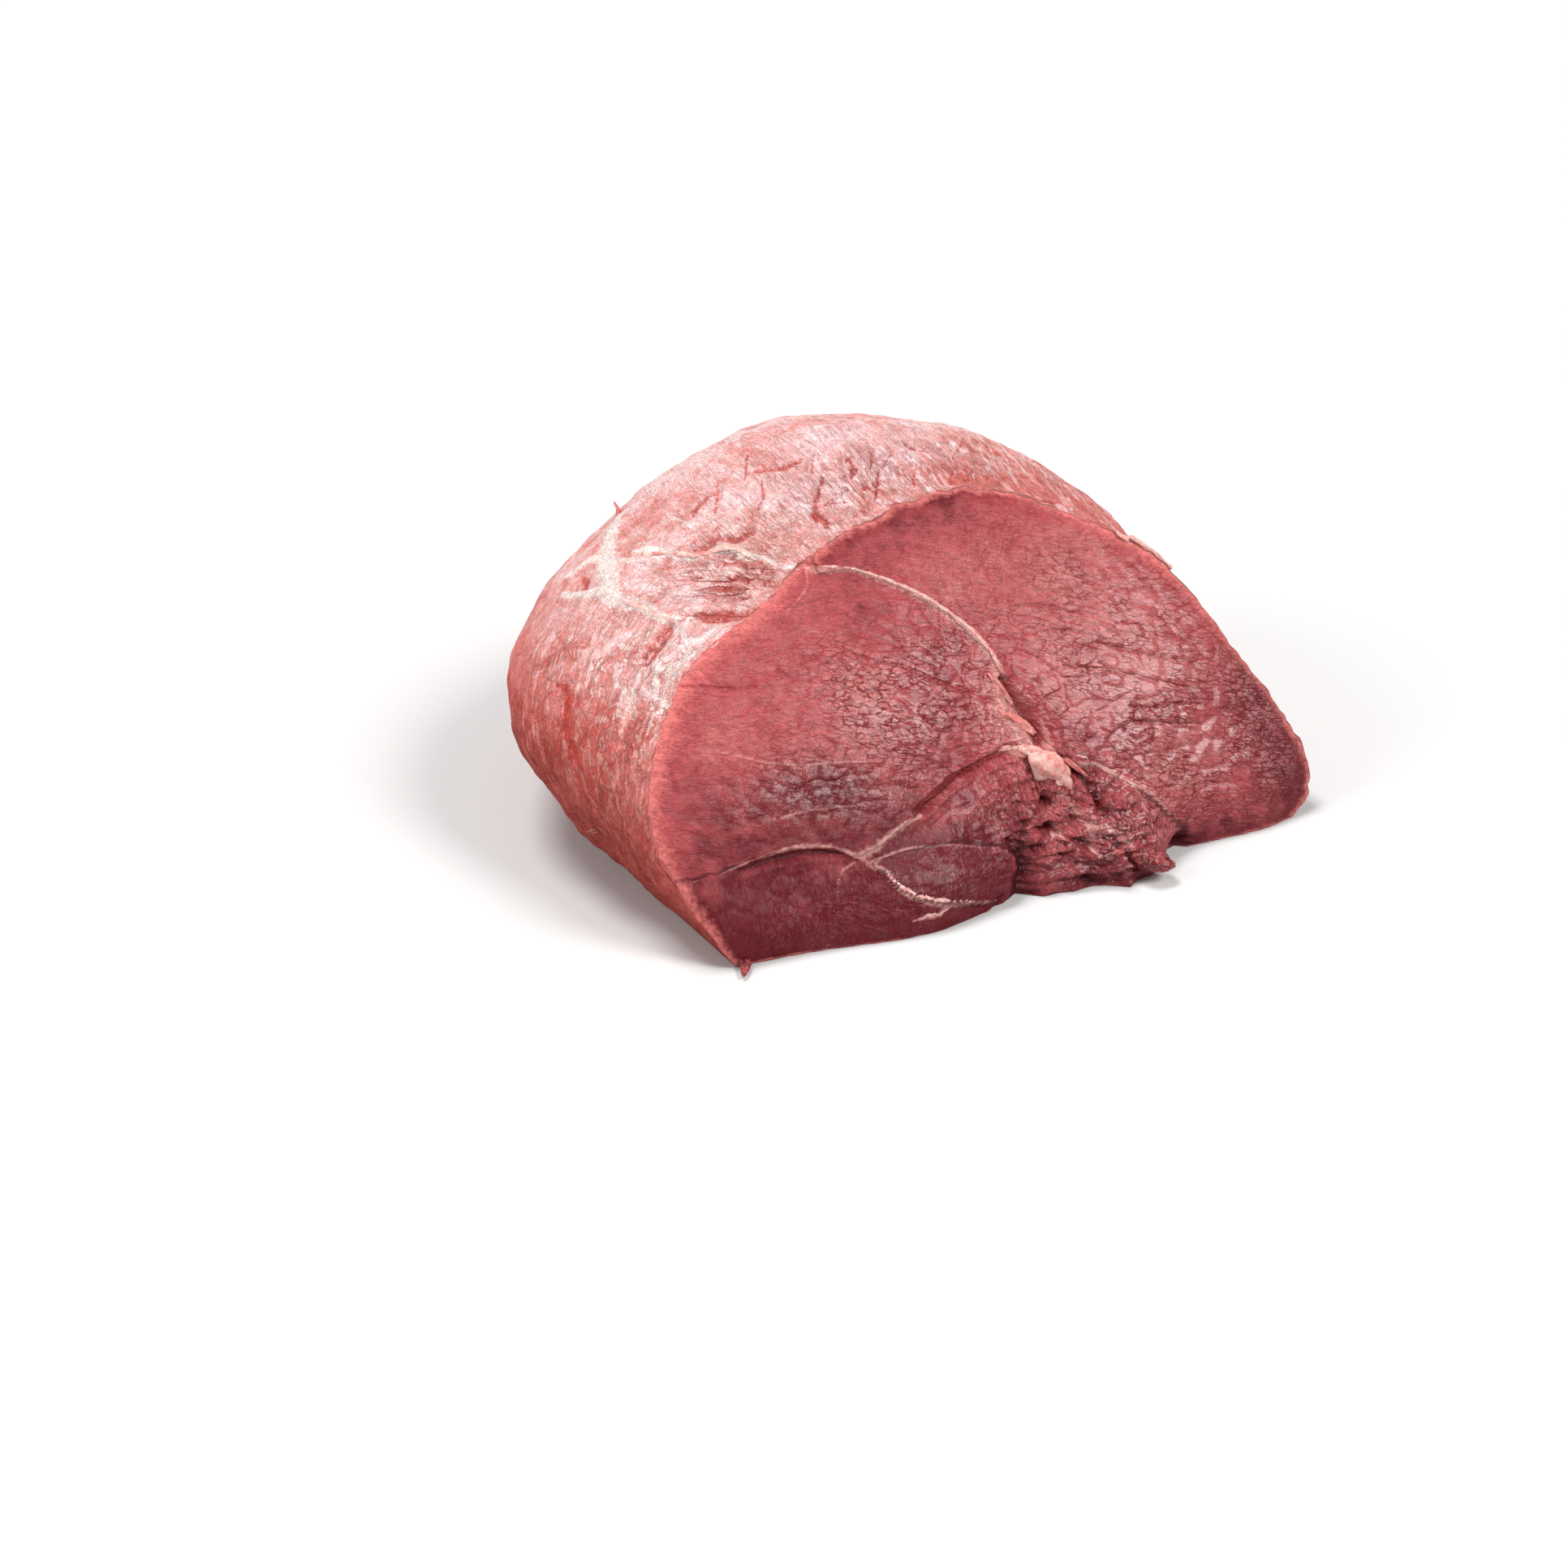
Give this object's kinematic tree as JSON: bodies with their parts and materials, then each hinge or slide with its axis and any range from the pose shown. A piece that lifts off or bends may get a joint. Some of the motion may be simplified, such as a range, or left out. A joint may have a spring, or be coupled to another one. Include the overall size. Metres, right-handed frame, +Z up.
{
  "type": "raw beef joint",
  "caption": "Rounded joint of raw beef with one large sloping cut face, resting on its flat underside.",
  "frame": {"origin": "middle of the joint's box, on the surface that it rests on", "axes": "+Z up; the large cut face looks towards -Y and leans back; X runs along the foot of the cut and is the longest way across"},
  "size_m": [0.2334, 0.1986, 0.1079],
  "materials": {
    "meat": "moist raw muscle, satin with small wet glints",
    "membrane": "thin pale membrane over muscle, satin",
    "fat": "soft cream fat, slightly moist"
  },
  "bodies": {
    "root": {"beef_joint": "meat"}
  },
  "joints": []
}
